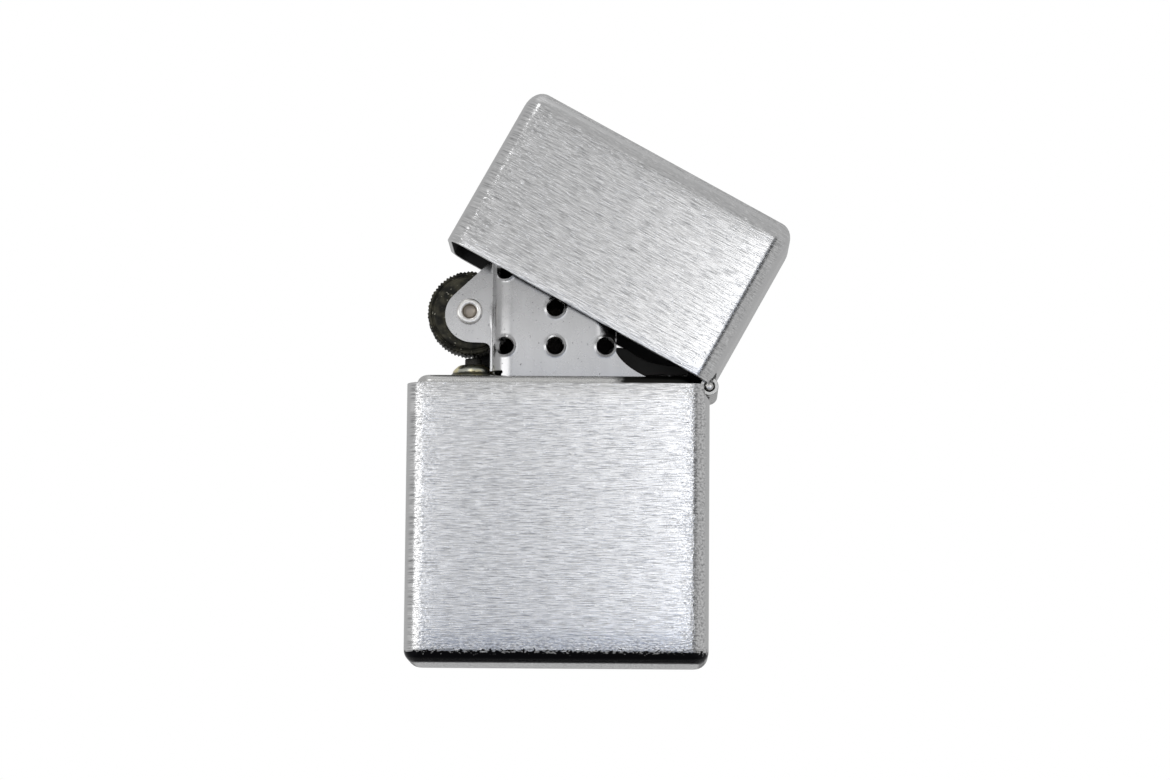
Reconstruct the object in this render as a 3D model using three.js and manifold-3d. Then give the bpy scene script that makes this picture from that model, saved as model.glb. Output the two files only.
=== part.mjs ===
// A flip-top windproof pocket lighter: a pressed case with a hinged lid, and inside it an
// insert that holds the fuel packing, the wick, the flint with its spring, the striking wheel
// and the sprung cam that snaps the lid.
//
// Millimetres. The origin is the centre of the case's flat bottom: +X runs towards the hinge,
// -Y is the front and +Z is up. The lid stands open by LID_OPEN degrees at rest.

import * as THREE from 'three';
import { mergeVertices } from 'three/addons/utils/BufferGeometryUtils.js';
import Module from 'manifold-3d';

const wasm = await Module();
wasm.setup();

// ---------------------------------------------------------------- driving dimensions

const WIDTH = 38.1;              // case and lid, along X
const DEPTH = 12.7;              // case and lid, along Y
const SHEET = 0.6;               // thickness of the case's and lid's sheet
const CORNER = 2.1;              // radius of the upright corners
const CASE_RIM = 35.2;           // height of the case's open rim
const CASE_EDGE = 1.7;           // radius round the case's bottom
const LID_RIM = 35.25;           // height of the lid's rim when it is shut
const LID_TOP = 57.75;           // height of the shut lighter
const LID_EDGE_IN = 2.0;         // how far the lid's top edge rounds inwards
const LID_EDGE_DOWN = 2.6;       // and how far down it starts
const LID_OPEN = 28.9;           // degrees that the lid stands open at rest

const HINGE = { x: 19.0, z: 35.05 };
const PIN_RADIUS = 0.55;
const KNUCKLE_INNER = 0.7;
const KNUCKLE_OUTER = 1.15;
const KNUCKLE_COUNT = 5;
const KNUCKLE_LENGTH = 1.8;
const KNUCKLE_PITCH = 1.92;
const BARREL_HALF = KNUCKLE_PITCH * (KNUCKLE_COUNT - 1) / 2 + KNUCKLE_LENGTH / 2;
const LEAF_REACH = 8.4;          // from the hinge axis to the far edge of a leaf
const LEAF_HALF = 4.1;           // half the width of a leaf's plate, clear of the wall's corners
const LEAF_ROOT = 1.35;          // from the hinge axis to the part that all knuckles share
const NOTCH_HALF = BARREL_HALF + 0.3;
const CASE_NOTCH_HALF = 5.8;     // the case's cut-out, at its mouth
const CASE_NOTCH_SHOULDER = 33.95;
const NOTCH_DEPTH = 1.9;         // of the walls' cut-outs, from the hinge axis

const INSERT = { left: -17.85, right: 17.15, halfDepth: 5.45, bottom: 1.1, top: 36.35 };
const INSERT_SHEET = 0.45;
const INSERT_CORNER = 1.8;
const INSERT_EDGE = 1.2;

const SCREEN_SHEET = 0.45;       // the windscreen's sheet
const SCREEN_FRONT = 4.9;        // half its depth, over the flat faces
const SCREEN_BASE = INSERT.top + 0.1;
const SCREEN_TOP = 51.6;
const SCREEN_FLAT = [-5.8, 4.7]; // where its flat face starts and ends
const SCREEN_CREASE = -8.6;      // where its corner meets the wheel's ear
const SCREEN_WALL_LOW = 41.3;    // where the rounded corner and the wall by the hinge start
const SCREEN_WALL_RADIUS = 2.275;
const CHEEK_TOP = 39.3;          // the flat cheeks that hold the cam's pin
const CHEEK_RIGHT = 10.9;
const WHEEL_EAR = 2.9;           // outer face of the wheel's ears
const HOLE_RADIUS = 1.05;
const HOLE_COLUMNS = [-6.75, -0.45, 5.9];
const HOLE_ROWS = [40.05, 44.9, 49.7];
const REAR_HOLE_DROP = 0.9;      // the rear holes sit this much lower

const WHEEL = { x: -11.35, z: 44.65, radius: 5.45, tooth: 0.22, teeth: 70, half: 1.9 };
const WHEEL_HUB = { radius: 4.75, half: 2.2 };
const RIVET_RADIUS = 0.85;
const RIVET_HEAD = 1.72;
const CAM_PIVOT = { x: 7.7, z: 37.6 };
const CAM_HALF = 0.75;
const CAM_EYE = { radius: 0.95, half: 4.2 };
const CAM_PIN_RADIUS = 0.45;
const CAM_PIN_HALF = 5.0;

const FLINT_X = -10.9;
const FLINT_RADIUS = 1.1;
const TUBE_OUTER = 1.65;
const TUBE_INNER = 1.25;
const WICK_X = -0.9;
const WICK_RADIUS = 1.45;
const ROUND = 24;                // facets round a small turned piece

// ---------------------------------------------------------------- helpers

/** A closed solid for joining and cutting, from any closed three.js geometry. */
function solid(geometry) {
  const bare = geometry.index ? geometry.toNonIndexed() : geometry.clone();
  bare.deleteAttribute('normal');
  bare.deleteAttribute('uv');
  const merged = mergeVertices(bare, 1e-4);
  const mesh = new wasm.Mesh({
    numProp: 3,
    vertProperties: new Float32Array(merged.attributes.position.array),
    triVerts: new Uint32Array(merged.index.array),
  });
  return new wasm.Manifold(mesh);
}

/** The three.js geometry of a joined or cut solid. */
function toGeometry(body) {
  const mesh = body.getMesh();
  const geometry = new THREE.BufferGeometry();
  geometry.setAttribute('position', new THREE.BufferAttribute(new Float32Array(mesh.vertProperties), 3));
  geometry.setIndex(new THREE.BufferAttribute(new Uint32Array(mesh.triVerts), 1));
  geometry.computeVertexNormals();
  return geometry;
}

/** A box between two corners. */
function block(low, high) {
  const size = high.map((value, i) => value - low[i]);
  const middle = high.map((value, i) => (value + low[i]) / 2);
  return new THREE.BoxGeometry(...size).translate(...middle);
}

/** A rectangle with round corners, centred on the origin. */
function roundedRectangle(width, height, radius) {
  const x = width / 2 - radius;
  const y = height / 2 - radius;
  const shape = new THREE.Shape();
  shape.absarc(x, y, radius, 0, Math.PI / 2);
  shape.absarc(-x, y, radius, Math.PI / 2, Math.PI);
  shape.absarc(-x, -y, radius, Math.PI, 1.5 * Math.PI);
  shape.absarc(x, -y, radius, 1.5 * Math.PI, 2 * Math.PI);
  shape.closePath();
  return shape;
}

/** An outline drawn in X and Y, raised from z0 to z1. */
function prismZ(shape, z0, z1, curveSegments = 6) {
  const settings = { depth: z1 - z0, bevelEnabled: false, curveSegments };
  return new THREE.ExtrudeGeometry(shape, settings).translate(0, 0, z0);
}

/** An outline drawn in X and Z, carried from y0 to y1. */
function prismY(shape, y0, y1, curveSegments = 6) {
  const settings = { depth: y1 - y0, bevelEnabled: false, curveSegments };
  return new THREE.ExtrudeGeometry(shape, settings).rotateX(Math.PI / 2).translate(0, y1, 0);
}

/** A block with round upright corners and softened top and bottom edges. */
function pillow(width, depth, z0, z1, corner, inwards, upwards) {
  const settings = {
    depth: z1 - z0 - 2 * upwards,
    bevelThickness: upwards,
    bevelSize: inwards,
    bevelOffset: -inwards,
    bevelSegments: 5,
    curveSegments: 4,
  };
  const shape = roundedRectangle(width, depth, corner);
  return new THREE.ExtrudeGeometry(shape, settings).translate(0, 0, z0 + upwards);
}

/** A turned piece about an upright axis, from its half outline of [radius, height] pairs. */
function turnedZ(x, outline, segments = ROUND) {
  const points = outline.map(([radius, height]) => new THREE.Vector2(radius, height));
  return new THREE.LatheGeometry(points, segments).rotateX(Math.PI / 2).translate(x, 0, 0);
}

/** A turned piece about an axis along Y through (x, z), from [radius, y] pairs. */
function turnedY(x, z, outline, segments = ROUND) {
  const points = outline.map(([radius, y]) => new THREE.Vector2(radius, y));
  return new THREE.LatheGeometry(points, segments).translate(x, 0, z);
}

/** A plain rod along Y. */
function rodY(x, z, radius, y0, y1, segments = ROUND) {
  return new THREE.CylinderGeometry(radius, radius, y1 - y0, segments).translate(x, (y0 + y1) / 2, z);
}

/** A plain rod along Z. */
function rodZ(x, radius, z0, z1, segments = ROUND) {
  const rod = new THREE.CylinderGeometry(radius, radius, z1 - z0, segments);
  return rod.rotateX(Math.PI / 2).translate(x, 0, (z0 + z1) / 2);
}

/** Points along an arc, in degrees, ends included. */
function arcPoints(x, y, radius, from, to, steps) {
  return Array.from({ length: steps + 1 }, (_, i) => {
    const angle = THREE.MathUtils.degToRad(from + (to - from) * i / steps);
    return new THREE.Vector2(x + radius * Math.cos(angle), y + radius * Math.sin(angle));
  });
}

/** The outline of a strip of sheet whose middle line follows the points. */
function stripShape(points, thickness) {
  const side = (sign) => points.map((point, i) => {
    const before = points[Math.max(i - 1, 0)];
    const after = points[Math.min(i + 1, points.length - 1)];
    const into = point.equals(before) ? after.clone().sub(point) : point.clone().sub(before);
    const out = point.equals(after) ? into.clone() : after.clone().sub(point);
    const a = into.normalize();
    const b = out.normalize();
    const normal = new THREE.Vector2(-a.y - b.y, a.x + b.x).normalize();
    const stretch = 1 / Math.max(normal.dot(new THREE.Vector2(-a.y, a.x)), 0.5);
    return point.clone().addScaledVector(normal, sign * stretch * thickness / 2);
  });
  return new THREE.Shape([...side(-1), ...side(1).reverse()]);
}

// ---------------------------------------------------------------- materials

function metal(color, roughness, metalness = 1) {
  return new THREE.MeshStandardMaterial({ color, roughness, metalness });
}

const brushedChrome = metal(0xc9cbd0, 0.32);
const nickel = metal(0xa8a8a4, 0.28);
const hingeSteel = metal(0xb9b6ae, 0.25);
const brightRivet = metal(0xd8d4cc, 0.2);
const wheelSteel = metal(0x26241f, 0.55, 0.8);
const springSteel = metal(0x8d8f92, 0.35);
const brass = metal(0xb79a4e, 0.35);
const flintGrey = metal(0x2c2b2a, 0.7, 0.4);
const cottonWhite = metal(0xe9e5da, 0.95, 0);
const feltGrey = metal(0xb8b2a4, 0.95, 0);
const wickCream = metal(0xd9cfb4, 0.9, 0);

// ---------------------------------------------------------------- the object's groups

const lighter = new THREE.Group();

const lidSwing = new THREE.Group();
lidSwing.position.set(HINGE.x, 0, HINGE.z);
lidSwing.rotation.y = THREE.MathUtils.degToRad(LID_OPEN);
lighter.add(lidSwing);

const shutLid = new THREE.Group();
shutLid.position.set(-HINGE.x, 0, -HINGE.z);
lidSwing.add(shutLid);

/** Adds one named piece to a group. */
function addPiece(name, geometry, material, group = lighter) {
  const mesh = new THREE.Mesh(geometry, material);
  mesh.name = name;
  group.add(mesh);
}

// ---------------------------------------------------------------- case and lid

/** An open box of sheet standing on z = 0, with its rim at the given height. */
function openShell(height, inwards, upwards) {
  const spare = 3 * upwards;
  const outer = pillow(WIDTH, DEPTH, 0, height + spare, CORNER, inwards, upwards);
  const inner = pillow(WIDTH - 2 * SHEET, DEPTH - 2 * SHEET, SHEET, height + 2 * spare,
    CORNER - SHEET, inwards - SHEET, upwards - SHEET);
  const above = block([-WIDTH, -DEPTH, height], [WIDTH, DEPTH, height + 3 * spare]);
  return solid(outer).subtract(solid(inner)).subtract(solid(above));
}

/** The cut-out in the case's right wall that the hinge's barrel stands in, with slanted shoulders. */
function caseNotch() {
  const floor = HINGE.z - NOTCH_DEPTH;
  const shape = new THREE.Shape([
    [-4.4, floor], [4.4, floor], [CASE_NOTCH_HALF, CASE_NOTCH_SHOULDER], [CASE_NOTCH_HALF, CASE_RIM + 5],
    [-CASE_NOTCH_HALF, CASE_RIM + 5], [-CASE_NOTCH_HALF, CASE_NOTCH_SHOULDER],
  ].map(([across, z]) => new THREE.Vector2(across, z)));
  return solid(prismY(shape, -2, 2).rotateZ(Math.PI / 2).translate(WIDTH / 2, 0, 0));
}

/** The cut-out in the lid's right wall. */
function lidNotch() {
  return solid(block([WIDTH / 2 - 2, -NOTCH_HALF, LID_RIM - 5],
    [WIDTH / 2 + 2, NOTCH_HALF, HINGE.z + NOTCH_DEPTH]));
}

const caseShell = openShell(CASE_RIM, CASE_EDGE, CASE_EDGE).subtract(caseNotch());
addPiece('bottom_case', toGeometry(caseShell), brushedChrome);

const upturned = openShell(LID_TOP - LID_RIM, LID_EDGE_IN, LID_EDGE_DOWN);
const lidShell = solid(toGeometry(upturned).rotateX(Math.PI).translate(0, 0, LID_TOP))
  .subtract(lidNotch());
addPiece('lid_case', toGeometry(lidShell), brushedChrome, shutLid);

// ---------------------------------------------------------------- hinge

/** One knuckle's outline: a strip that stands beside the pin and curls three quarters round it. */
function curlShape() {
  const shape = new THREE.Shape();
  shape.moveTo(-KNUCKLE_OUTER, -LEAF_ROOT - 0.4);
  shape.lineTo(-KNUCKLE_OUTER, 0);
  shape.absarc(0, 0, KNUCKLE_OUTER, Math.PI, -Math.PI / 2, true);
  shape.lineTo(0, -KNUCKLE_INNER);
  shape.absarc(0, 0, KNUCKLE_INNER, -Math.PI / 2, Math.PI, false);
  shape.lineTo(-KNUCKLE_INNER, -LEAF_ROOT - 0.4);
  shape.closePath();
  return shape;
}

/** A hinge leaf below the pin with the knuckles at the given places, about the pin's axis. */
function hingeLeaf(places) {
  const plate = block([-KNUCKLE_OUTER, -LEAF_HALF, -LEAF_REACH], [-KNUCKLE_INNER, LEAF_HALF, -LEAF_ROOT]);
  return places.reduce((leaf, place) => {
    const middle = (place - (KNUCKLE_COUNT - 1) / 2) * KNUCKLE_PITCH;
    const knuckle = prismY(curlShape(), middle - KNUCKLE_LENGTH / 2, middle + KNUCKLE_LENGTH / 2, 7);
    return leaf.add(solid(knuckle));
  }, solid(plate));
}

addPiece('case_hinge_leaf', toGeometry(hingeLeaf([1, 3])).translate(HINGE.x, 0, HINGE.z), hingeSteel);

const lidLeaf = toGeometry(hingeLeaf([0, 2, 4])).rotateX(Math.PI);
addPiece('lid_hinge_leaf', lidLeaf.translate(HINGE.x, 0, HINGE.z), hingeSteel, shutLid);

addPiece('hinge_pin', rodY(HINGE.x, HINGE.z, PIN_RADIUS, -BARREL_HALF - 0.1, BARREL_HALF + 0.1), brightRivet);

// ---------------------------------------------------------------- insert

const insertWidth = INSERT.right - INSERT.left;
const insertMiddle = (INSERT.right + INSERT.left) / 2;
const insertDepth = 2 * INSERT.halfDepth;
const camSlot = { x0: 13.3, x1: 16.6, half: 1.7 };

/** The insert's body: a deep-drawn sleeve, open below, with a deck that the fittings pass through. */
function insertBody() {
  const below = 6;
  const outer = pillow(insertWidth, insertDepth, INSERT.bottom - below, INSERT.top,
    INSERT_CORNER, INSERT_EDGE, INSERT_EDGE);
  const inner = pillow(insertWidth - 2 * INSERT_SHEET, insertDepth - 2 * INSERT_SHEET,
    INSERT.bottom - 2 * below, INSERT.top - INSERT_SHEET, INSERT_CORNER - INSERT_SHEET,
    INSERT_EDGE - INSERT_SHEET, INSERT_EDGE - INSERT_SHEET);
  const under = block([-WIDTH, -DEPTH, INSERT.bottom - 3 * below], [WIDTH, DEPTH, INSERT.bottom]);
  return solid(outer).subtract(solid(inner)).translate([insertMiddle, 0, 0])
    .subtract(solid(under))
    .subtract(solid(rodZ(FLINT_X, TUBE_OUTER + 0.1, INSERT.top - 2, INSERT.top + 1)))
    .subtract(solid(rodZ(WICK_X, WICK_RADIUS + 0.15, INSERT.top - 2, INSERT.top + 1)))
    .subtract(solid(block([camSlot.x0, -camSlot.half, INSERT.top - 2],
      [camSlot.x1, camSlot.half, INSERT.top + 1])));
}

addPiece('insert_body', toGeometry(insertBody()), nickel);

// ---------------------------------------------------------------- windscreen

const screenFace = -(SCREEN_FRONT - SCREEN_SHEET / 2);
const screenWall = SCREEN_FLAT[1] + SCREEN_WALL_RADIUS;

/** The middle line of the front sheet, in plan, from the wheel's ear to the end of its flat face. */
function frontSheetLine() {
  const ear = -(WHEEL_EAR - SCREEN_SHEET / 2);
  const across = SCREEN_FLAT[0] - SCREEN_CREASE;
  const back = ear - screenFace;
  const radius = (across * across + back * back) / (2 * back);
  const sweep = THREE.MathUtils.radToDeg(Math.asin(across / radius));
  return [
    new THREE.Vector2(-15.5, ear),
    ...arcPoints(SCREEN_FLAT[0], screenFace + radius, radius, 270 - sweep, 270, 8),
  ];
}

/** The wheel ear and the front face, seen from the front. */
function screenOutline() {
  const ear = { x: -10.95, z: 44.25, radius: 3.52 };
  const slope = THREE.MathUtils.degToRad(42);
  const tangent = slope + Math.PI / 2;
  const shape = new THREE.Shape();
  shape.moveTo(SCREEN_CREASE, SCREEN_TOP - 0.35);
  shape.lineTo(ear.x + ear.radius * Math.cos(tangent), ear.z + ear.radius * Math.sin(tangent));
  shape.absarc(ear.x, ear.z, ear.radius, tangent, 1.5 * Math.PI, false);
  shape.lineTo(-9.5, ear.z - ear.radius - 0.05);
  shape.quadraticCurveTo(-8.72, 40.68, -8.7, 39.9);
  shape.lineTo(-8.7, SCREEN_BASE + 0.6);
  shape.lineTo(-7.3, SCREEN_BASE + 0.55);
  shape.absarc(-7.2, SCREEN_BASE + 0.28, 0.27, Math.PI / 2, -Math.PI / 2, true);
  shape.lineTo(-7.2, SCREEN_BASE - 1);
  shape.lineTo(CHEEK_RIGHT, SCREEN_BASE - 1);
  shape.lineTo(CHEEK_RIGHT, SCREEN_BASE);
  shape.quadraticCurveTo(8.1, 37.55, screenWall + SCREEN_SHEET / 2, CHEEK_TOP);
  shape.lineTo(screenWall, 40.4);
  shape.lineTo(screenWall - 0.5, SCREEN_WALL_LOW + 0.2);
  shape.lineTo(SCREEN_FLAT[1] + 0.2, SCREEN_WALL_LOW + 0.2);
  shape.lineTo(SCREEN_FLAT[1] + 0.2, SCREEN_TOP);
  shape.lineTo(SCREEN_CREASE + 0.4, SCREEN_TOP);
  shape.closePath();
  return shape;
}

/** One half of the windscreen: a face with its wheel ear, its cheek and its rounded corner. */
function screenHalf() {
  const line = [...frontSheetLine(), new THREE.Vector2(CHEEK_RIGHT + 1, screenFace)];
  const corner = [
    new THREE.Vector2(SCREEN_FLAT[1] - 0.5, screenFace),
    ...arcPoints(SCREEN_FLAT[1], screenFace + SCREEN_WALL_RADIUS, SCREEN_WALL_RADIUS, 270, 360, 8),
    new THREE.Vector2(screenWall, 0),
  ];
  return solid(prismZ(stripShape(line, SCREEN_SHEET), SCREEN_BASE, SCREEN_TOP))
    .intersect(solid(prismY(screenOutline(), -8, 0, 8)))
    .add(solid(prismZ(stripShape(corner, SCREEN_SHEET), SCREEN_WALL_LOW, SCREEN_TOP)));
}

/** The windscreen: two faces joined by the wall on the hinge side, with rows of air holes. */
function windscreen() {
  const front = screenHalf();
  const rear = front.mirror([0, 1, 0]);
  const foot = solid(block([-11.0, WHEEL_EAR - SCREEN_SHEET, 38.2], [-8.9, WHEEL_EAR, 41.2]));
  let body = front.add(rear).add(foot);
  HOLE_COLUMNS.forEach((x, column) => HOLE_ROWS.forEach((z, row) => {
    if (column !== 1 && row === 1) return;
    body = body.subtract(solid(rodY(x, z, HOLE_RADIUS, -SCREEN_FRONT - 1, -1.7)));
    body = body.subtract(solid(rodY(x, z - REAR_HOLE_DROP, HOLE_RADIUS, 1.7, SCREEN_FRONT + 1)));
  }));
  const wheelBore = rodY(WHEEL.x, WHEEL.z, RIVET_RADIUS + 0.1, -8, 8);
  const camBore = rodY(CAM_PIVOT.x, CAM_PIVOT.z, CAM_PIN_RADIUS + 0.1, -8, 8);
  return body.subtract(solid(wheelBore)).subtract(solid(camBore));
}

addPiece('windscreen', toGeometry(windscreen()), nickel);

// ---------------------------------------------------------------- striking wheel

/** The toothed outline of the wheel, in X and Z. */
function toothedShape() {
  const points = Array.from({ length: 2 * WHEEL.teeth }, (_, i) => {
    const radius = WHEEL.radius - (i % 2) * WHEEL.tooth;
    const angle = Math.PI * i / WHEEL.teeth;
    return new THREE.Vector2(radius * Math.cos(angle), radius * Math.sin(angle));
  });
  return new THREE.Shape(points);
}

const wheelBody = solid(prismY(toothedShape(), -WHEEL.half, WHEEL.half))
  .add(solid(rodY(0, 0, WHEEL_HUB.radius, -WHEEL_HUB.half, WHEEL_HUB.half, 48)))
  .subtract(solid(rodY(0, 0, RIVET_RADIUS + 0.08, -5, 5)));
addPiece('flint_wheel', toGeometry(wheelBody).translate(WHEEL.x, 0, WHEEL.z), wheelSteel);

/** A tubular rivet across two ears: a shank with a cupped head at each end. */
function rivet(place, shank, head, ear, thickness) {
  const inner = ear + 0.05;
  const outer = ear + 0.05 + thickness;
  const cup = head * 0.64;
  const floor = outer - 0.6 * thickness;
  return turnedY(place.x, place.z, [
    [0, -floor], [cup * 0.8, -floor], [cup, -outer + 0.06], [head * 0.82, -outer], [head, -inner - 0.15],
    [head, -inner], [shank, -inner], [shank, inner], [head, inner], [head, inner + 0.15],
    [head * 0.82, outer], [cup, outer - 0.06], [cup * 0.8, floor], [0, floor],
  ]);
}

addPiece('wheel_rivet', rivet(WHEEL, RIVET_RADIUS, RIVET_HEAD, WHEEL_EAR, 0.5), brightRivet);

// ---------------------------------------------------------------- cam and its spring

/** The cam: a wedge from the eye on its pin to the nose that meets the lid's hinge leaf. */
function camShape() {
  const shape = new THREE.Shape();
  shape.moveTo(CAM_PIVOT.x, CAM_PIVOT.z - CAM_EYE.radius);
  shape.lineTo(12.5, 37.05);
  shape.lineTo(15.0, 37.3);
  shape.quadraticCurveTo(16.2, 37.2, 16.5, 37.5);
  shape.quadraticCurveTo(16.6, 37.8, 15.9, 38.0);
  shape.lineTo(13.2, 38.3);
  shape.lineTo(10.9, 38.85);
  shape.lineTo(9.5, 39.7);
  shape.quadraticCurveTo(8.6, 40.5, 7.2, 40.5);
  shape.quadraticCurveTo(6.0, 40.4, 5.95, 39.4);
  shape.lineTo(6.3, 37.7);
  shape.quadraticCurveTo(6.6, 36.8, CAM_PIVOT.x, CAM_PIVOT.z - CAM_EYE.radius);
  return shape;
}

const camBody = solid(prismY(camShape(), -CAM_HALF, CAM_HALF))
  .add(solid(rodY(CAM_PIVOT.x, CAM_PIVOT.z, CAM_EYE.radius, -CAM_EYE.half, CAM_EYE.half)))
  .subtract(solid(rodY(CAM_PIVOT.x, CAM_PIVOT.z, CAM_PIN_RADIUS + 0.08, -5, 5)));
addPiece('lid_cam', toGeometry(camBody), wheelSteel);
addPiece('cam_pin', rodY(CAM_PIVOT.x, CAM_PIVOT.z, CAM_PIN_RADIUS, -CAM_PIN_HALF, CAM_PIN_HALF), nickel);

const springLine = [
  new THREE.Vector2(16.2, 18),
  new THREE.Vector2(16.2, 30),
  ...arcPoints(14.2, 33.4, 2.0, 0, 50, 5),
  new THREE.Vector2(13.9, 36.75),
];
addPiece('cam_spring', prismY(stripShape(springLine, 0.3), -1.4, 1.4), springSteel);

// ---------------------------------------------------------------- flint column

const tubeOutline = [
  [TUBE_INNER, 4.0], [TUBE_OUTER, 4.0], [TUBE_OUTER, 38.05], [TUBE_INNER, 38.05], [TUBE_INNER, 4.0],
];
addPiece('flint_tube', turnedZ(FLINT_X, tubeOutline), brass);

const collarOutline = [
  [1.75, 36.5], [3.35, 36.5], [3.3, 36.65], [2.8, 37.05], [2.35, 37.5], [2.05, 37.95], [1.92, 38.08],
  [1.75, 38.08], [1.75, 36.5],
];
addPiece('tube_collar', turnedZ(FLINT_X, collarOutline, 32), brass);

const flintOutline = [[0, 34.0], [FLINT_RADIUS, 34.0], [FLINT_RADIUS, 39.0], [0, 39.0]];
addPiece('flint', turnedZ(FLINT_X, flintOutline), flintGrey);

const plungerOutline = [
  [0, 29.9], [0.55, 29.9], [0.55, 31.9], [FLINT_RADIUS, 31.9], [FLINT_RADIUS, 33.3], [0.7, 33.95], [0, 33.95],
];
addPiece('flint_plunger', turnedZ(FLINT_X, plungerOutline), brass);

const SPRING_WIRE = 0.17;
const SPRING_RADIUS = 0.9;
const SPRING_TURNS = 12;
const SPRING_LOW = 9.4;
const SPRING_HIGH = 31.6;

/** The flint spring's middle line. */
class Helix extends THREE.Curve {
  getPoint(t, target = new THREE.Vector3()) {
    const angle = 2 * Math.PI * SPRING_TURNS * t;
    const z = SPRING_LOW + (SPRING_HIGH - SPRING_LOW) * t;
    return target.set(FLINT_X + SPRING_RADIUS * Math.cos(angle), SPRING_RADIUS * Math.sin(angle), z);
  }
}

const wire = new THREE.Shape(arcPoints(0, 0, SPRING_WIRE, 0, 300, 5));
const springSettings = { steps: SPRING_TURNS * 12, extrudePath: new Helix(), bevelEnabled: false };
addPiece('flint_spring', new THREE.ExtrudeGeometry(wire, springSettings), springSteel);

/** The screw that closes the tube, with a coin slot across its head. */
function flintScrew() {
  const turned = turnedZ(FLINT_X, [
    [0, 1.3], [2.3, 1.3], [2.5, 1.5], [2.5, 2.8], [1.15, 2.9], [1.15, 9.0], [0, 9.0],
  ]);
  const slot = block([FLINT_X - 3, -0.3, 0.9], [FLINT_X + 3, 0.3, 1.9]);
  return solid(turned).subtract(solid(slot));
}

addPiece('flint_screw', toGeometry(flintScrew()), brass);

// ---------------------------------------------------------------- wick, packing and felt

addPiece('wick', rodZ(WICK_X, WICK_RADIUS, 7, 45.6, 20), wickCream);

const PACKING = [
  { x: -5.6, z: 12.6, rx: 2.9, rz: 7.4 },
  { x: -5.6, z: 28.0, rx: 2.9, rz: 7.4 },
  { x: 8.3, z: 9.6, rx: 7.2, rz: 5.0 },
  { x: 8.3, z: 19.9, rx: 7.2, rz: 5.0 },
  { x: 8.3, z: 30.2, rx: 7.2, rz: 5.0 },
];
PACKING.forEach(({ x, z, rx, rz }, i) => {
  const ball = new THREE.SphereGeometry(1, 14, 9).rotateX(Math.PI / 2).scale(rx, 4.5, rz).translate(x, 0, z);
  addPiece(`cotton_ball_${i + 1}`, ball, cottonWhite);
});

const padShape = roundedRectangle(insertWidth - 1.6, insertDepth - 1.6, 1.2);
const pad = solid(prismZ(padShape, 1.5, 3.7, 3)).translate([insertMiddle, 0, 0])
  .subtract(solid(rodZ(FLINT_X, 2.8, 0, 6)));
addPiece('felt_pad', toGeometry(pad), feltGrey);

export default lighter;
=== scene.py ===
# %% [markdown]
# # A flip-top windproof lighter, standing open
#
# The real thing is four pressed or drawn shells and a handful of small turned parts. This script
# rebuilds the visible ones as curved sheets and turned solids, gives each its finish, and lights
# them softly. Lengths are in millimetres until a mesh is made, where they become metres.

# %% Load the frame
import math

import bmesh
import bpy
import numpy as np
from mathutils import Matrix, Vector
from mathutils.geometry import delaunay_2d_cdt


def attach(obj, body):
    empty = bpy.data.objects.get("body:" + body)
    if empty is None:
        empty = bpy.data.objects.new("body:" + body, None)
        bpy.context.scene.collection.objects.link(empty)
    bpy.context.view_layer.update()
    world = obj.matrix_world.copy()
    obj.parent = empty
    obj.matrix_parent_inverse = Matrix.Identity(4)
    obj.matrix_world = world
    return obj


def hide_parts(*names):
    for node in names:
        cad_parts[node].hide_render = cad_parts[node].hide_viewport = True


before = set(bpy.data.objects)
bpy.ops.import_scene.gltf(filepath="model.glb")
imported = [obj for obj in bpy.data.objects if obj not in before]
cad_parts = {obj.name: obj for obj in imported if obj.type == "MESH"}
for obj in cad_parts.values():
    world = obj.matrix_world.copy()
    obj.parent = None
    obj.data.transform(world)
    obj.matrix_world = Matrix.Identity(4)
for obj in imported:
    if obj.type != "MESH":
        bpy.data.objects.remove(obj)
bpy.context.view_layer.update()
MM = 0.001

# %% [markdown]
# ## Sizes
# Every piece shares these, so that the sheet metal, the hinge and the insert stay in step.

# %% Sizes in millimetres
WIDTH, DEPTH, SHEET, CORNER = 38.1, 12.7, 0.6, 2.1
CASE_RIM, CASE_EDGE = 35.2, 1.7
LID_RIM, LID_TOP, LID_OPEN = 35.25, 57.735, 28.9
LID_EDGE_IN, LID_EDGE_DOWN = 2.0, 2.6
HINGE = np.array([19.0, 0.0, 35.05])
KNUCKLE_OUTER, KNUCKLE_INNER = 1.15, 0.7
KNUCKLE_PITCH, KNUCKLE_LENGTH = 1.92, 1.8
WHEEL = np.array([-11.35, 0.0, 44.65])
CAM_PIVOT = np.array([7.7, 0.0, 37.6])
DECK = 36.35
FLINT_X, WICK_X = -10.9, -0.9

# %% [markdown]
# ## Tools
# A surface is a function of two parameters, sampled on a grid: `grid` turns the sampled array into a
# mesh, closes its seams and poles by merging equal points, and faces it outwards.

# %% Mesh tools
def finish_mesh(name, mesh, smooth=True):
    """Merges equal points, turns all faces outwards and links the object."""
    bm = bmesh.new()
    bm.from_mesh(mesh)
    bmesh.ops.remove_doubles(bm, verts=bm.verts, dist=1e-6)
    bmesh.ops.dissolve_degenerate(bm, edges=bm.edges, dist=1e-7)
    bmesh.ops.recalc_face_normals(bm, faces=bm.faces)
    bm.to_mesh(mesh)
    bm.free()
    mesh.polygons.foreach_set("use_smooth", np.full(len(mesh.polygons), smooth))
    piece = bpy.data.objects.new(name, mesh)
    bpy.context.scene.collection.objects.link(piece)
    return piece


def grid_faces(nu, nv, wrap_u, wrap_v):
    """Quads (i,j) (i+1,j) (i+1,j+1) (i,j+1) over an nu by nv grid."""
    i, j = np.meshgrid(np.arange(nu if wrap_u else nu - 1), np.arange(nv if wrap_v else nv - 1),
                       indexing="ij")
    i2, j2 = (i + 1) % nu, (j + 1) % nv
    return np.stack([i * nv + j, i2 * nv + j, i2 * nv + j2, i * nv + j2], -1).reshape(-1, 4)


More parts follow.
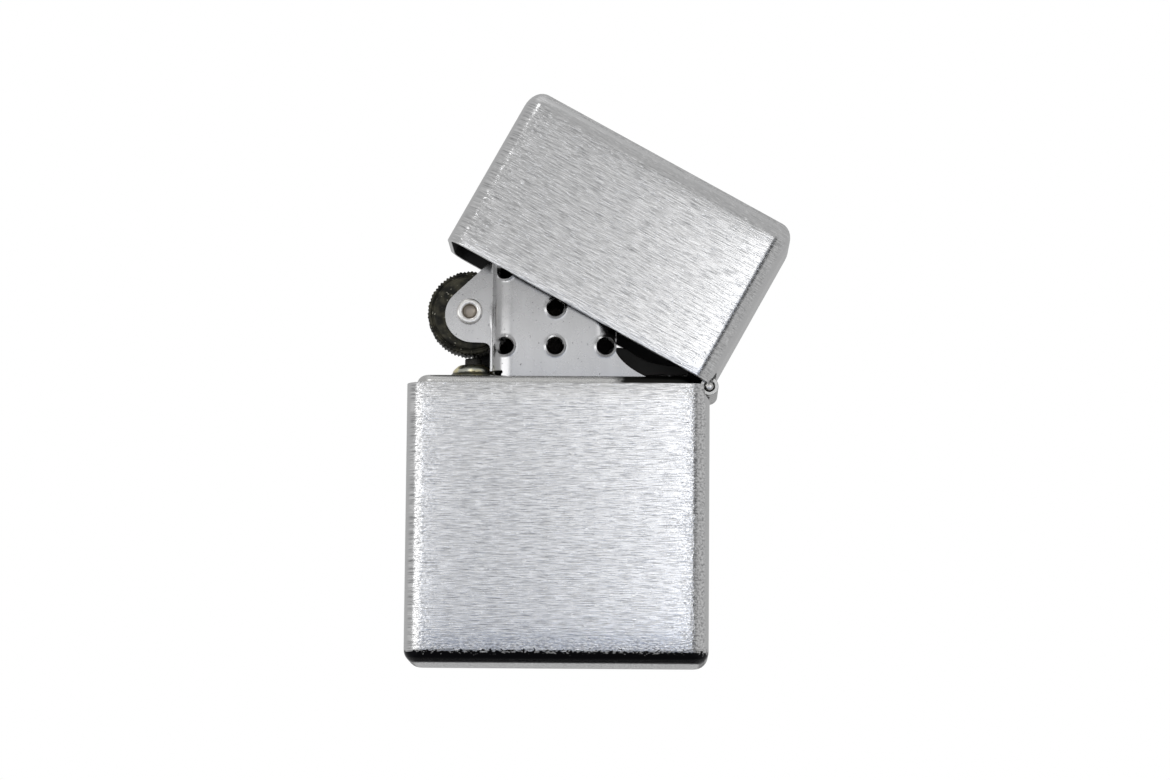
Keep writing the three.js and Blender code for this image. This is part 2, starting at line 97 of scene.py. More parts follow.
def grid(name, points, wrap_u=True, wrap_v=False):
    """The mesh of points[u, v, xyz], in mm."""
    mesh = bpy.data.meshes.new(name)
    faces = grid_faces(*points.shape[:2], wrap_u, wrap_v)
    mesh.from_pydata((points.reshape(-1, 3) * MM).tolist(), [], faces.tolist())
    return finish_mesh(name, mesh)


def turned(name, profile, centre, axis="z", steps=64, ripple=None):
    """Turns a profile of (radius, height) about an axis: (r cos t, r sin t, h).
    ripple(t, r, h) may change the radius."""
    t = np.linspace(0, 2 * np.pi, steps, endpoint=False)[:, None]
    r, h = np.array(profile, float).T
    r, h = np.broadcast_arrays(r[None] + 0 * t, h[None] + 0 * t)
    if ripple:
        r = ripple(t, r, h)
    across, along = np.stack([r * np.cos(t), r * np.sin(t)], -1), h[..., None]
    if axis == "z":
        points = np.concatenate([across, along], -1)
    else:
        points = np.concatenate([across[..., :1], along, across[..., 1:]], -1)
    return grid(name, points + np.asarray(centre, float))


def arc(x, z, radius, start, end, steps):
    """Points at (x + r cos a, z + r sin a), for a from start to end in degrees."""
    a = np.radians(np.linspace(start, end, steps))
    return np.stack([x + radius * np.cos(a), z + radius * np.sin(a)], -1)


def slab(name, outline, y0, y1, bevel=0.08):
    """A flat outline of (x, z) points carried from y0 to y1, with its edges broken."""
    outline = np.asarray(outline, float)
    n = len(outline)
    points = np.concatenate([np.insert(outline, 1, y0, 1), np.insert(outline, 1, y1, 1)])
    i = np.arange(n)
    sides = np.stack([i, (i + 1) % n, (i + 1) % n + n, i + n], -1).tolist()
    mesh = bpy.data.meshes.new(name)
    mesh.from_pydata((points * MM).tolist(), [], sides + [i.tolist(), (i + n)[::-1].tolist()])
    piece = finish_mesh(name, mesh)
    soften(piece, bevel)
    return piece


def soften(piece, width, segments=2, angle=35):
    """Breaks the sharp edges by the given width in mm."""
    bevel = piece.modifiers.new("broken edges", "BEVEL")
    bevel.width, bevel.segments = width * MM, segments
    bevel.limit_method, bevel.angle_limit = "ANGLE", math.radians(angle)
    bevel.harden_normals = True


def apply_modifiers(piece):
    """Replaces the mesh by what its modifiers make of it."""
    bpy.context.view_layer.update()
    made = bpy.data.meshes.new_from_object(piece.evaluated_get(bpy.context.evaluated_depsgraph_get()))
    piece.modifiers.clear()
    piece.data = made


def join(pieces, name):
    """One object out of several closed ones."""
    bm = bmesh.new()
    for piece in pieces:
        apply_modifiers(piece)
        bm.from_mesh(piece.data)
    for piece in pieces:
        bpy.data.objects.remove(piece)
    mesh = bpy.data.meshes.new(name)
    bm.to_mesh(mesh)
    bm.free()
    joined = bpy.data.objects.new(name, mesh)
    bpy.context.scene.collection.objects.link(joined)
    return joined


def turn_about_hinge(points, degrees):
    """Turns points about the hinge pin, as the lid opens: towards +X for a positive angle."""
    a = math.radians(degrees)
    turn = np.array([[math.cos(a), 0, math.sin(a)], [0, 1, 0], [-math.sin(a), 0, math.cos(a)]])
    return (points - HINGE) @ turn.T + HINGE


def open_lid(piece):
    """Carries a piece made on the shut lid to where the lid stands open."""
    co = np.empty(len(piece.data.vertices) * 3)
    piece.data.vertices.foreach_get("co", co)
    moved = turn_about_hinge(co.reshape(-1, 3) / MM, LID_OPEN) * MM
    piece.data.vertices.foreach_set("co", moved.ravel())
    piece.data.update()
    return piece

# %% [markdown]
# ## Case and lid
# Both are drawn from sheet brass and chromed. Each is one closed surface: across the floor inside, up
# the inner wall, over the rolled rim, down the outer wall and back under the bottom. One parameter goes
# round the rounded rectangle, the other along that profile. The faces are crowned: they lie flat in the
# middle and fall away by a few hundredths near their edges, which is what the polishing belt leaves.

# %% Shell surface
CORNER_TURN = np.radians([0, 6, 12, 17, 20, 21.5, 23, 26, 31, 36, 40, 43, 45.5, 47, 48.2, 49.5, 52, 57, 64,
                          72, 81, 90.0])


def rounded_rectangle(half_w, half_d, radius, long_steps=26, short_steps=7):
    """Core points and normals round a rectangle: the line at inset d is core + (radius - d) n,
    where n = (cos a, sin a) turns only at the corners."""
    x, y = half_w - radius, half_d - radius
    right = np.stack([np.full(short_steps, x), np.linspace(0, y, short_steps)], -1)
    bend = np.tile([x, y], (len(CORNER_TURN), 1))
    top = np.stack([x * (1 - np.linspace(0, 1, long_steps) ** 1.3), np.full(long_steps, y)], -1)
    core = np.concatenate([right, bend[1:], top[1:]])
    angle = np.concatenate([np.zeros(short_steps), CORNER_TURN[1:], np.full(long_steps - 1, np.pi / 2)])
    normal = np.stack([np.cos(angle), np.sin(angle)], -1)
    both = np.stack([core, normal], 1)
    mirror_x = both[::-1] * [-1, 1]
    ring = np.concatenate([both[:-1], mirror_x[:-1], -both[:-1], -mirror_x[:-1]])
    return ring[:, 0], ring[:, 1]


def shell(name, height, edge_in, edge_up, notch):
    """An open sheet box on z = 0. Point (u, v) = core(u) s(v) + (r - d(v)) n(u) s(v) at z(v), where d is
    the inset, z the height and s shrinks the two floors to their middle. The rim drops at the hinge."""
    core, normal = rounded_rectangle(WIDTH / 2, DEPTH / 2, CORNER)
    t = np.linspace(0, np.pi / 2, 9)
    wall = np.linspace(0, 1, 14)
    lip, top = 0.07, height - 0.07
    floor_s = np.array([0, 0.4, 0.75, 0.92])
    roll = np.linspace(0, np.pi / 2, 5)
    rows = [  # inset, height, shrink, share of the rim's drop
        np.stack([0 * floor_s + edge_in, 0 * floor_s + SHEET, floor_s, 0 * floor_s], -1),
        np.stack([edge_in - (edge_in - SHEET) * np.sin(t), SHEET + (edge_up - SHEET) * (1 - np.cos(t)),
                  0 * t + 1, 0 * t], -1),
        np.stack([0 * wall + SHEET, edge_up + (top - edge_up) * wall, 0 * wall + 1, wall], -1)[1:],
        np.stack([SHEET - lip * (1 - np.cos(roll)), top + lip * np.sin(roll), 0 * roll + 1, 0 * roll + 1],
                 -1)[1:],
        np.stack([lip * (1 - np.sin(roll)), top + lip * np.cos(roll), 0 * roll + 1, 0 * roll + 1], -1),
        np.stack([0 * wall, top - (top - edge_up) * wall, 0 * wall + 1, 1 - wall], -1)[1:],
        np.stack([edge_in * (1 - np.cos(t)), edge_up * (1 - np.sin(t)), 0 * t + 1, 0 * t], -1)[1:],
        np.stack([0 * floor_s + edge_in, 0 * floor_s, floor_s, 0 * floor_s], -1)[::-1],
    ]
    inset, z, shrink, share = np.concatenate(rows).T
    xy = (core[:, None] + (CORNER - inset)[None, :, None] * normal[:, None]) * shrink[None, :, None]
    outer = core + CORNER * normal
    drop = np.interp(abs(outer[:, 1]), *np.array(notch).T) * (outer[:, 0] > 0)
    z = z[None] - drop[:, None] * share[None]
    tx = abs(xy[..., 0]) / (WIDTH / 2)
    tz = np.clip(1 - z / (0.5 * height), 0, 1)
    xy[..., 1] *= 1 - 0.045 * tx ** 12 - 0.03 * tz ** 9
    return grid(name, np.concatenate([xy, z[..., None]], -1))


def line_inside(piece, height):
    """Gives the faces that look at the middle of a shell its second finish, where
    (centre - middle) . normal < 0."""
    centre, normal = np.empty(len(piece.data.polygons) * 3), np.empty(len(piece.data.polygons) * 3)
    piece.data.polygons.foreach_get("center", centre)
    piece.data.polygons.foreach_get("normal", normal)
    away = centre.reshape(-1, 3) - [0, 0, height / 2 * MM]
    within = (away * normal.reshape(-1, 3)).sum(1) < 0
    piece.data.polygons.foreach_set("material_index", within.astype(np.int32))


case_notch = [(0, 2.05), (4.2, 2.05), (4.9, 1.9), (5.4, 1.6), (5.7, 1.25), (5.8, 0.8), (5.87, 0), (9, 0)]
lid_notch = [(0, 1.7), (4.99, 1.7), (5.09, 0), (9, 0)]
case = shell("case_shell", CASE_RIM, CASE_EDGE, CASE_EDGE, case_notch)
lid = shell("lid_shell", LID_TOP - LID_RIM, LID_EDGE_IN, LID_EDGE_DOWN, lid_notch)
line_inside(case, CASE_RIM)
line_inside(lid, LID_TOP - LID_RIM)
co = np.empty(len(lid.data.vertices) * 3)
lid.data.vertices.foreach_get("co", co)
co = co.reshape(-1, 3) * [1, -1, -1] + [0, 0, LID_TOP * MM]
lid.data.vertices.foreach_set("co", co.ravel())
open_lid(lid)
print("case and lid", len(case.data.polygons), len(lid.data.polygons), "faces")

# %% [markdown]
# ## Hinge
# Five knuckles turn on one pin: three belong to the lid's leaf and two to the case's. Each is a tab of
# the leaf curled three quarters of the way round the pin. The leaves are spot-welded inside the walls.

# %% Leaves and pin
def leaf(name, places):
    """A leaf below the pin, about the pin's axis: a plate and one curled tab at each place."""
    curl = np.concatenate([
        [[-KNUCKLE_OUTER, -1.75]],
        arc(0, 0, KNUCKLE_OUTER, 180, -90, 28),
        arc(0, 0, KNUCKLE_INNER, -90, 180, 24),
        [[-KNUCKLE_INNER, -1.75]],
    ])
    parts = [slab("plate", [[-1.15, -8.4], [-0.7, -8.4], [-0.7, -1.35], [-1.15, -1.35]], -4.1, 4.1, 0.1)]
    for place in places:
        middle = (place - 2) * KNUCKLE_PITCH
        parts.append(slab("tab", curl, middle - KNUCKLE_LENGTH / 2, middle + KNUCKLE_LENGTH / 2, 0.07))
    return join(parts, name)


def shift(piece, turn_over=False):
    """Moves a piece made about the pin's axis to the hinge, turned over for the lid."""
    co = np.empty(len(piece.data.vertices) * 3)
    piece.data.vertices.foreach_get("co", co)
    co = co.reshape(-1, 3) * ([1, -1, -1] if turn_over else [1, 1, 1]) + HINGE * MM
    piece.data.vertices.foreach_set("co", co.ravel())
    piece.data.update()


case_leaf = leaf("case_leaf_curled", [1, 3])
shift(case_leaf)
lid_leaf = leaf("lid_leaf_curled", [0, 2, 4])
shift(lid_leaf, True)
open_lid(lid_leaf)
pin_end = 4.84
pin_profile = [(0, -pin_end), (0.36, -pin_end), (0.5, -pin_end + 0.06), (0.55, -pin_end + 0.17),
               (0.55, pin_end - 0.17), (0.5, pin_end - 0.06), (0.36, pin_end), (0, pin_end)]
pin = turned("hinge_pin_turned", pin_profile, HINGE, "y", 40)
print("hinge", sum(len(piece.data.polygons) for piece in (case_leaf, lid_leaf, pin)), "faces")

# %% [markdown]
# ## Insert
# A drawn stainless sleeve that slides into the case. Its deck is pierced for the flint tube, the wick
# and the cam's spring. The outline is the same rounded rectangle, smaller, and open below.

# %% Sleeve
def sleeve(name):
    """Inner deck, inner wall, lower lip, outer wall, rounded shoulder and outer deck, in one surface."""
    half_w, half_d, corner, edge, sheet = 17.5, 5.45, 1.8, 1.2, 0.45
    core, normal = rounded_rectangle(half_w, half_d, corner)
    t = np.linspace(0, np.pi / 2, 8)
    grow = np.array([0, 0.5, 0.9])
    rows = [
        np.stack([0 * grow + edge, 0 * grow + DECK - sheet, grow], -1),
        np.stack([edge - (edge - sheet) * np.sin(t), DECK - sheet - (edge - sheet) * (1 - np.cos(t)),
                  0 * t + 1], -1),
        [[sheet, 1.2, 1], [sheet - 0.1, 1.1, 1], [0.1, 1.1, 1], [0, 1.2, 1]],
        np.stack([edge * (1 - np.cos(t)), DECK - edge * (1 - np.sin(t)), 0 * t + 1], -1),
        np.stack([0 * grow + edge, 0 * grow + DECK, grow], -1)[::-1],
    ]
    inset, z, shrink = np.concatenate(rows).T
    xy = (core[:, None] + (corner - inset)[None, :, None] * normal[:, None]) * shrink[None, :, None]
    xy[..., 0] -= 0.35
    return grid(name, np.concatenate([xy, np.broadcast_to(z, xy.shape[:2])[..., None]], -1))


def pierce(piece, cutters):
    """Cuts the given closed pieces out of the sheet, and removes them."""
    for cutter in cutters:
        cut = piece.modifiers.new("hole", "BOOLEAN")
        cut.operation, cut.object, cut.solver = "DIFFERENCE", cutter, "EXACT"
    apply_modifiers(piece)
    for cutter in cutters:
        bpy.data.objects.remove(cutter)


insert = sleeve("insert_sleeve")
pierce(insert, [
    turned("cut_flint", [(0, 34), (1.75, 34), (1.75, 38), (0, 38)], (FLINT_X, 0, 0), steps=40),
    turned("cut_wick", [(0, 34), (1.6, 34), (1.6, 38), (0, 38)], (WICK_X, 0, 0), steps=40),
    slab("cut_cam", [[13.3, 34], [16.6, 34], [16.6, 38], [13.3, 38]], -1.7, 1.7, 0.01),
])
print("insert", len(insert.data.polygons), "faces")

# %% [markdown]
# ## Windscreen
# On the real lighter this is one strip of sheet: the blank is cut, its air holes are punched, which
# leaves a raised lip round each, and it is bent round into a chimney. It is made here the same way.
# The blank is a flat outline in (s, z), where s runs along the sheet; it is triangulated with its holes,
# and then s is carried along the bent middle line. The two ears at its left hold the striking wheel.

# %% Bent line
HOLE_RADIUS = 1.08
HOLES_X, HOLES_Z = [-6.75, -0.45, 5.9], [40.05, 44.9, 49.7]
EAR_Y, SCREEN_BASE, SCREEN_TOP = 2.675, 36.2, 51.6


def bent_line(bends, start, step=0.02):
    """(s, x, y) along a line of (length, radius) bends from start, heading along +X; radius 0 is straight,
    and a positive radius turns towards +Y."""
    counts = [max(int(round(length / step)), 1) for length, r in bends]
    curvature = np.concatenate([np.full(n, 1 / r if r else 0.0) for n, (length, r) in zip(counts, bends)])
    steps = np.concatenate([np.full(n, length / n) for n, (length, r) in zip(counts, bends)])
    heading = np.cumsum(curvature * steps) - curvature * steps / 2
    x = start[0] + np.concatenate([[0], np.cumsum(np.cos(heading) * steps)])
    y = start[1] + np.concatenate([[0], np.cumsum(np.sin(heading) * steps)])
    return np.concatenate([[0], np.cumsum(steps)]), x, y


CREASE_TURN, CREASE_INNER, CREASE_OUTER, CORNER_RADIUS = math.radians(71.07), 0.45, 2.51, 2.275
EAR_LENGTH, FACE_LENGTH, WALL_HALF, EAR_TIP_X = 6.9, 10.5, 2.4, -15.5
to_face = [(EAR_LENGTH, 0), (CREASE_TURN * CREASE_INNER, -CREASE_INNER),
           (CREASE_TURN * CREASE_OUTER, CREASE_OUTER), (FACE_LENGTH, 0)]
corner_s = sum(length for length, r in to_face)
corner_length = math.pi / 2 * CORNER_RADIUS
flat_line = bent_line(to_face + [(6.5, 0)], (EAR_TIP_X, -EAR_Y))
wrap_line = bent_line(to_face + [(corner_length, CORNER_RADIUS), (WALL_HALF, 0)], (EAR_TIP_X, -EAR_Y))
s_end = corner_s + corner_length + WALL_HALF


def s_of(x):
    """The distance along the sheet at which it reaches x."""
    return np.interp(x, flat_line[1], flat_line[0])


print("bent line", round(s_end, 2), "mm from ear to middle of wall; corner at", round(corner_s, 2))

# %% Blank
def dense(outline, gap=0.3):
    """The same closed outline with points at most gap apart."""
    outline = np.asarray(outline, float)
    out = []
    for a, b in zip(outline, np.roll(outline, -1, 0)):
        n = max(int(np.ceil(np.hypot(*(b - a)) / gap)), 1)
        out.append(a + (b - a) * np.linspace(0, 1, n, endpoint=False)[:, None])
    return np.concatenate(out)


def inside(points, outline):
    """Whether each point is inside the closed outline, by counting crossings to its right."""
    a, b = outline, np.roll(outline, -1, 0)
    px, pz = points[:, None, 0], points[:, None, 1]
    spans = (a[:, 1] > pz) != (b[:, 1] > pz)
    rise = np.where(b[:, 1] == a[:, 1], 1e-12, b[:, 1] - a[:, 1])
    return (spans & (px < (b[:, 0] - a[:, 0]) * (pz - a[:, 1]) / rise + a[:, 0])).sum(1) % 2 == 1


def blank(outline, holes, s_gap, z_gap):
    """Triangles of a flat outline with round holes, whose lips get three rings of points."""
    edge = dense(outline)
    rings, points, links = [1.0, 1.09, 1.2, 1.36, 1.55], [edge], []
    links.append(np.stack([np.arange(len(edge)), (np.arange(len(edge)) + 1) % len(edge)], -1))
    total = len(edge)
    turn = np.linspace(0, 2 * np.pi, 32, endpoint=False)
    for s, z, r in holes:
        for ring in rings:
            points.append(np.stack([s + r * ring * np.cos(turn), z + r * ring * np.sin(turn)], -1))
            links.append(total + np.stack([np.arange(32), (np.arange(32) + 1) % 32], -1))
            total += 32
    lo, hi = edge.min(0), edge.max(0)
    fill = np.stack(np.meshgrid(np.arange(lo[0], hi[0], s_gap), np.arange(lo[1], hi[1], z_gap)), -1)
    fill = fill.reshape(-1, 2)
    fill = fill[inside(fill, edge)]
    near = np.min(np.hypot(*(fill[:, None] - edge[None]).transpose(2, 0, 1)), 1) > 0.12
    for s, z, r in holes:
        near &= np.hypot(fill[:, 0] - s, fill[:, 1] - z) > 1.7 * r
    points.append(fill[near])
    points = np.concatenate(points)
    made = delaunay_2d_cdt([Vector(p) for p in points], np.concatenate(links).tolist(), [], 0, 1e-5)
    verts = np.array([tuple(v) for v in made[0]])
    faces = np.array([f for f in made[2] if len(f) == 3])
    middle = verts[faces].mean(1)
    good = inside(middle, edge)
    for s, z, r in holes:
        good &= np.hypot(middle[:, 0] - s, middle[:, 1] - z) > 0.995 * r
    return verts, faces[good]


def bend_blank(verts, side, holes):
    """(s, z) to (x, y, z). The face stays flat at the foot and wraps round the corner higher up: with
    w = smoothstep of z from 40.1 to 42.5, the place is (1 - w) flat(s) + w wrapped(s), pushed outwards by
    the hole lips and the pressed dimple. side is -1 in front."""
    s, z = verts.T
    w = np.clip((z - 40.1) / 2.4, 0, 1)
    w = w * w * (3 - 2 * w)
    places = []
    for ls, lx, ly in (flat_line, wrap_line):
        slopes = np.gradient(lx, ls), np.gradient(ly, ls)
        places.append(np.stack([np.interp(s, ls, v) for v in (lx, ly, *slopes)]))
    x, y, tx, ty = places[0] * (1 - w) + places[1] * w
    push = np.zeros_like(s)
    for hs, hz, r in holes:
        away = np.hypot(s - hs, z - hz) / r
        push += 0.13 * np.exp(-((away - 1.0) / 0.17) ** 2)
    dimple = np.clip(1 - ((s - s_of(-8.35)) / 0.42) ** 2 - ((z - 44.05) / 1.75) ** 2, 0, 1)
    push += 0.12 * dimple
    y = np.where((s >= s_end - 1e-6) & (z > 42), 0, y - tx * push)
    return np.stack([x + ty * push, -side * y, z], -1)


ear_c, ear_r = (-10.95, 44.25), 3.52


def face_outline(rear):
    """The ear, the slot at its foot, the cheek by the cam, the face and the upper wall, as (s, z).
    The rear ear also has a foot that closes the gap below the wheel."""
    if rear:
        ear = np.concatenate([arc(*ear_c, ear_r, 132, 262, 26),
                              [[-11.0, 40.4], [-11.0, 38.3], [-10.9, 38.2], [-8.8, 38.2]]])
        foot = np.array([[-8.7, 38.1], [-8.7, 37.05], [-7.3, 37.0]])
    else:
        ear = arc(*ear_c, ear_r, 132, 270, 26)
        foot = np.array([[-9.5, 40.68], [-9.05, 40.55], [-8.78, 40.25], [-8.7, 39.9], [-8.7, 37.05],
                         [-7.3, 37.0]])
    slot = arc(-7.2, 36.73, 0.27, 90, -70, 7)
    t = np.linspace(0, 1, 12)
    cheek = np.stack([(1 - t) ** 2 * 11.0 + 2 * t * (1 - t) * 8.1 + t ** 2 * 7.22,
                      (1 - t) ** 2 * SCREEN_BASE + 2 * t * (1 - t) * 37.55 + t ** 2 * 39.3], -1)
    line = np.concatenate([[[-8.6, SCREEN_TOP - 0.35]], ear, foot, slot, [[-7.1, SCREEN_BASE]], cheek,
                           [[7.18, 40.1], [7.1, 40.9]]])
    line = np.stack([s_of(line[:, 0]), line[:, 1]], -1)
    wall = [[corner_s + 2.9, 41.8], [corner_s + 3.6, 42.5], [s_end, 42.5], [s_end, SCREEN_TOP],
            [s_of(-8.2), SCREEN_TOP]]
    return np.concatenate([line, wall])


def windscreen(name):
    """Front and rear halves joined at the middle of the wall, sooty inside."""
    verts, faces, count = [], [], 0
    bores = [(s_of(WHEEL[0]), WHEEL[2], 0.95)]
    for side, fall in ((-1, 0.0), (1, 0.9)):
        holes = [(s_of(x), z - fall, HOLE_RADIUS)
                 for i, x in enumerate(HOLES_X) for j, z in enumerate(HOLES_Z) if i == 1 or j != 1]
        flat, tris = blank(face_outline(side > 0), holes + bores, 0.22, 0.33)
        verts.append(bend_blank(flat, side, holes))
        faces.append(tris[:, ::-side] + count)
        count += len(flat)
    mesh = bpy.data.meshes.new(name)
    mesh.from_pydata((np.concatenate(verts) * MM).tolist(), [], np.concatenate(faces).tolist())
    piece = finish_mesh(name, mesh)
    face_outwards(piece)
    thick = piece.modifiers.new("sheet", "SOLIDIFY")
    thick.thickness, thick.offset, thick.material_offset = 0.45 * MM, 0, 1
    soften(piece, 0.09, 2, 50)
    return piece


def face_outwards(piece):
    """Turns an open sheet round if its front faces look backwards."""
    mesh = piece.data
    data = np.empty(len(mesh.polygons) * 3)
    mesh.polygons.foreach_get("normal", data)
    normal = data.reshape(-1, 3).copy()
    mesh.polygons.foreach_get("center", data)
    if (normal[:, 1] * np.sign(data.reshape(-1, 3)[:, 1])).sum() < 0:
        mesh.flip_normals()


screen = windscreen("windscreen_bent")
print("windscreen", len(screen.data.polygons), "faces before its thickness")

# %% [markdown]
# ## Striking wheel and its rivet
# The wheel is hardened steel, knurled with a cross cut so that it shaves the flint. Its sides are dished
# and stepped. The rivet is a tube whose ends are rolled over the ears, so each end shows a bright ring
# round a shallow cup.

# %% Wheel
TEETH = 70


def knurl(t, r, h):
    """Teeth on the rim: r - 0.2 w (2 |frac(n t / 2 pi + 0.35 h) - 1/2|), where w is 1 on the rim."""
    w = np.clip((r - 4.95) / 0.3, 0, 1)
    saw = np.abs((TEETH * t / (2 * np.pi) + 0.22 * np.abs(h)) % 1 - 0.5) * 2
    wear = 0.75 + 0.25 * np.sin(5 * t + 1.3) * np.sin(11 * t + 0.4)
    return r - 0.27 * w * saw * wear - 0.03 * w * (1 + np.sin(23 * t))


wheel_profile = [
    (0.93, -2.2), (2.2, -2.2), (3.9, -2.2), (4.45, -2.2), (4.62, -2.14), (4.68, -1.98), (4.72, -1.82),
    (4.82, -1.8), (4.9, -1.86), (4.98, -1.9), (5.2, -1.9), (5.33, -1.86), (5.42, -1.75), (5.45, -1.55),
    (5.45, -1.1), (5.45, -0.5), (5.45, 0.0),
]
wheel_profile = wheel_profile + [(r, -y) for r, y in wheel_profile[-2::-1]] + [(0.93, -2.2)]
wheel = turned("striking_wheel", wheel_profile, WHEEL, "y", TEETH * 6, knurl)

# %% Rivet
cup = [
    (0, 2.84), (0.2, 2.82), (0.34, 2.87), (0.46, 2.86), (0.58, 2.93), (0.7, 2.98), (0.8, 3.08),
    (0.88, 3.22), (0.93, 3.33), (1.0, 3.385), (1.15, 3.4), (1.35, 3.4), (1.48, 3.38), (1.58, 3.3),
    (1.63, 3.18), (1.63, 3.05), (1.58, 2.95), (0.85, 2.93), (0.85, 0),
]
rivet_profile = [(r, -y) for r, y in cup] + [(r, y) for r, y in cup[-2::-1]]
rivet = turned("wheel_rivet_rolled", rivet_profile, WHEEL, "y", 56)
print("wheel", len(wheel.data.polygons), "rivet", len(rivet.data.polygons), "faces")

# %% [markdown]
# ## Cam
# A small wedge on a pin whose ends are welded into the sheet and ground flush. Its near-black finish is
# painted shade, for the deep shadow under the open lid. Its nose meets the lid's leaf, and a leaf spring
# under it gives the lid its snap.

# %% Cam and pin
cam_line = np.array([
    [7.7, 36.65], [12.4, 36.92], [13.2, 37.02], [13.6, 36.9], [15.0, 36.88], [15.7, 36.94],
    [16.2, 37.1], [16.48, 37.45], [16.42, 37.8], [15.9, 38.0], [13.2, 38.3], [10.9, 38.85],
    [9.5, 39.7], [9.0, 40.1], [8.4, 40.35], [7.8, 40.47], [7.2, 40.5], [6.6, 40.38], [6.2, 40.1],
    [6.0, 39.7], [5.95, 39.4], [6.3, 37.7], [6.5, 37.2], [6.9, 36.8],
])
blade = slab("blade", cam_line, -0.75, 0.75, 0.12)
eye_profile = [(0.53, -4.2), (0.85, -4.2), (0.95, -4.1), (0.95, 4.1), (0.85, 4.2), (0.53, 4.2),
               (0.53, -4.2)]
eye = turned("eye", eye_profile, CAM_PIVOT, "y", 32)
cam = join([blade, eye], "cam_wedge")
pin_line = [(0, -4.8), (0.4, -4.8), (0.45, -4.75), (0.45, 4.75), (0.4, 4.8), (0, 4.8)]
cam_pin = turned("cam_pin_welded", pin_line, CAM_PIVOT, "y", 28)

# %% [markdown]
# ## Flint tube's collar and flint
# The tube comes up through the deck and is held by a flared collar of pale brass.

# %% Collar and flint
collar_profile = [
    (1.7, 36.45), (3.38, 36.42), (3.34, 36.55), (3.15, 36.72), (2.9, 36.86), (2.72, 37.0),
    (2.66, 37.15), (2.62, 37.32), (2.5, 37.5), (2.3, 37.7), (2.1, 37.88), (1.95, 38.0), (1.82, 38.06),
    (1.74, 38.04), (1.7, 37.96), (1.7, 36.45),
]
collar = turned("collar_flared", collar_profile, (FLINT_X, 0, 0), steps=72)
flint_profile = [(0, 34), (1.02, 34), (1.1, 34.1), (1.1, 38.85), (1.02, 38.96), (0.8, 39.0), (0, 38.97)]
flint = turned("flint_worn", flint_profile, (FLINT_X, 0, 0), steps=36)

# %% [markdown]
# ## Wick, packing and felt
# The wick is a braided cotton cord. Below it the packing is five cotton balls, closed by a felt pad.

# %% Soft pieces
def braid(t, r, h):
    """Two families of strands crossing: r - 0.17 (1 - |sin(4 t + 2.2 h) sin(4 t - 2.2 h)|^0.6)."""
    strands = np.abs(np.sin(4 * t + 2.2 * h) * np.sin(4 * t - 2.2 * h)) ** 0.6
    return np.where(r > 0.4, r - 0.17 * (1 - strands), r)


wick_side = [(1.44, h) for h in np.linspace(7.0, 45.3, 300)]
wick_profile = [(0, 7.0), (0.7, 7.0)] + wick_side + [(1.15, 45.5), (0.7, 45.58), (0, 45.55)]
wick = turned("wick_braided", wick_profile, (WICK_X, 0, 0), steps=64, ripple=braid)


def cotton(name, x, z, rx, rz, seed):
    """A lumpy ellipsoid: radius 1 - 0.05 (1 + mean of five seeded waves of the direction)."""
    rng = np.random.default_rng(seed)
    u, v = np.meshgrid(np.linspace(0, 2 * np.pi, 56, endpoint=False), np.linspace(0, np.pi, 34),
                       indexing="ij")
    way = np.stack([np.sin(v) * np.cos(u), np.sin(v) * np.sin(u), np.cos(v)], -1)
    waves = sum(np.sin(way @ rng.normal(0, 3.2, 3) + rng.uniform(0, 6)) for _ in range(5)) / 5
    size = 1 - 0.05 * (1 + waves)
    return grid(name, way * size[..., None] * [rx, 4.5, rz] + [x, 0, z])


PACKING = [(-5.6, 12.6, 2.9, 7.4), (-5.6, 28.0, 2.9, 7.4), (8.3, 9.6, 7.2, 5.0), (8.3, 19.9, 7.2, 5.0),
           (8.3, 30.2, 7.2, 5.0)]
balls = [cotton(f"packing_{i + 1}", *place, seed=40 + i) for i, place in enumerate(PACKING)]


def felt_pad(name):
    """A rounded slab: inset and height follow a rounded side, and the two faces swell by 0.1."""
    core, normal = rounded_rectangle(16.7, 4.65, 1.2, 20, 5)
    t = np.linspace(0, np.pi, 11)
    side = np.stack([0.5 * (1 - np.sin(t)), 2.6 - 0.95 * np.cos(t), 0 * t + 1], -1)
    s = np.array([0, 0.5, 0.85])
    low = np.stack([0 * s + 0.5, 1.65 - 0.1 * (1 - s ** 4), s], -1)
    high = np.stack([0 * s + 0.5, 3.55 + 0.1 * (1 - s ** 4), s], -1)[::-1]
    inset, z, shrink = np.concatenate([low, side, high]).T
    xy = (core[:, None] + (1.2 - inset)[None, :, None] * normal[:, None]) * shrink[None, :, None]
    xy[..., 0] -= 0.35
    return grid(name, np.concatenate([xy, np.broadcast_to(z, xy.shape[:2])[..., None]], -1))


felt = felt_pad("felt_pad_soft")
pierce(felt, [turned("cut_screw", [(0, 0), (2.8, 0), (2.8, 6), (0, 6)], (FLINT_X, 0, 0), steps=40)])
print("soft pieces", [len(o.data.polygons) for o in [wick, felt] + balls])

# %% [markdown]
# ## Finishes
# `Wire` is one output of a material with arithmetic on it; `Finish` adds every other node.

